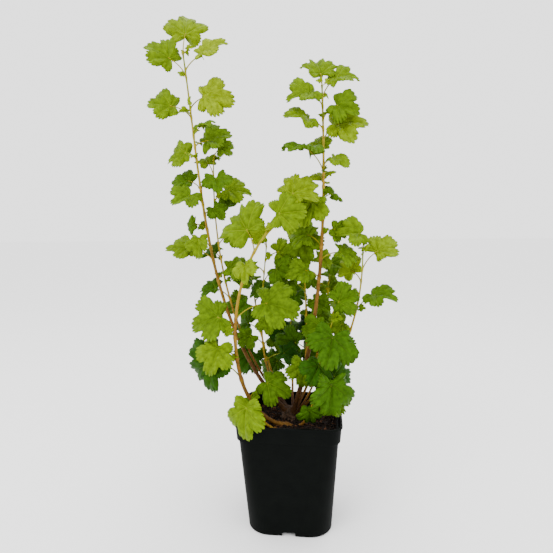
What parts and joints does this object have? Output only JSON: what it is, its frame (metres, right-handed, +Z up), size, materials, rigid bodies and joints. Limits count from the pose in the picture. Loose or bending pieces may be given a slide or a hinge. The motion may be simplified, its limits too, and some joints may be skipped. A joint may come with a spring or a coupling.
{
  "type": "potted jostaberry bush",
  "caption": "Young jostaberry bush in a square nursery pot: arching woody shoots with lobed leaves on long stalks, standing on the pot's flat base.",
  "frame": {"origin": "middle of the flat underside of the pot", "axes": "+Z up along the pot's axis, -Y towards the front that the picture shows, +X to the right in the picture"},
  "size_m": [0.3737, 0.2571, 0.7589],
  "materials": {
    "pot_plastic": "black moulded plastic with a soft sheen",
    "compost": "dark moist potting compost with crumbs and fibres",
    "bark": "thin smooth reddish brown bark, peeling in places and greener towards the tips",
    "foliage": "bright yellow-green leaves with a soft sheen, raised lobes and paler undersides"
  },
  "bodies": {
    "root": {"pot": "pot_plastic", "compost": "compost", "crown": "bark", "limb_left_tall": "bark", "limb_left_second": "bark", "limb_front_left": "bark", "limb_centre": "bark", "limb_centre_right": "bark", "limb_right_tall": "bark", "limb_right_outer": "bark", "limb_right_mid": "bark", "limb_left_low": "bark", "limb_right_low": "bark", "limb_back_left": "bark", "limb_back_right": "bark", "limb_back_centre": "bark", "foliage_left_tall": "foliage", "foliage_left_second": "foliage", "foliage_front_left": "foliage", "foliage_centre": "foliage", "foliage_centre_right": "foliage", "foliage_right_tall": "foliage", "foliage_right_outer": "foliage", "foliage_right_mid": "foliage", "foliage_left_low": "foliage", "foliage_right_low": "foliage", "foliage_back_left": "foliage", "foliage_back_right": "foliage", "foliage_back_centre": "foliage"}
  },
  "joints": []
}
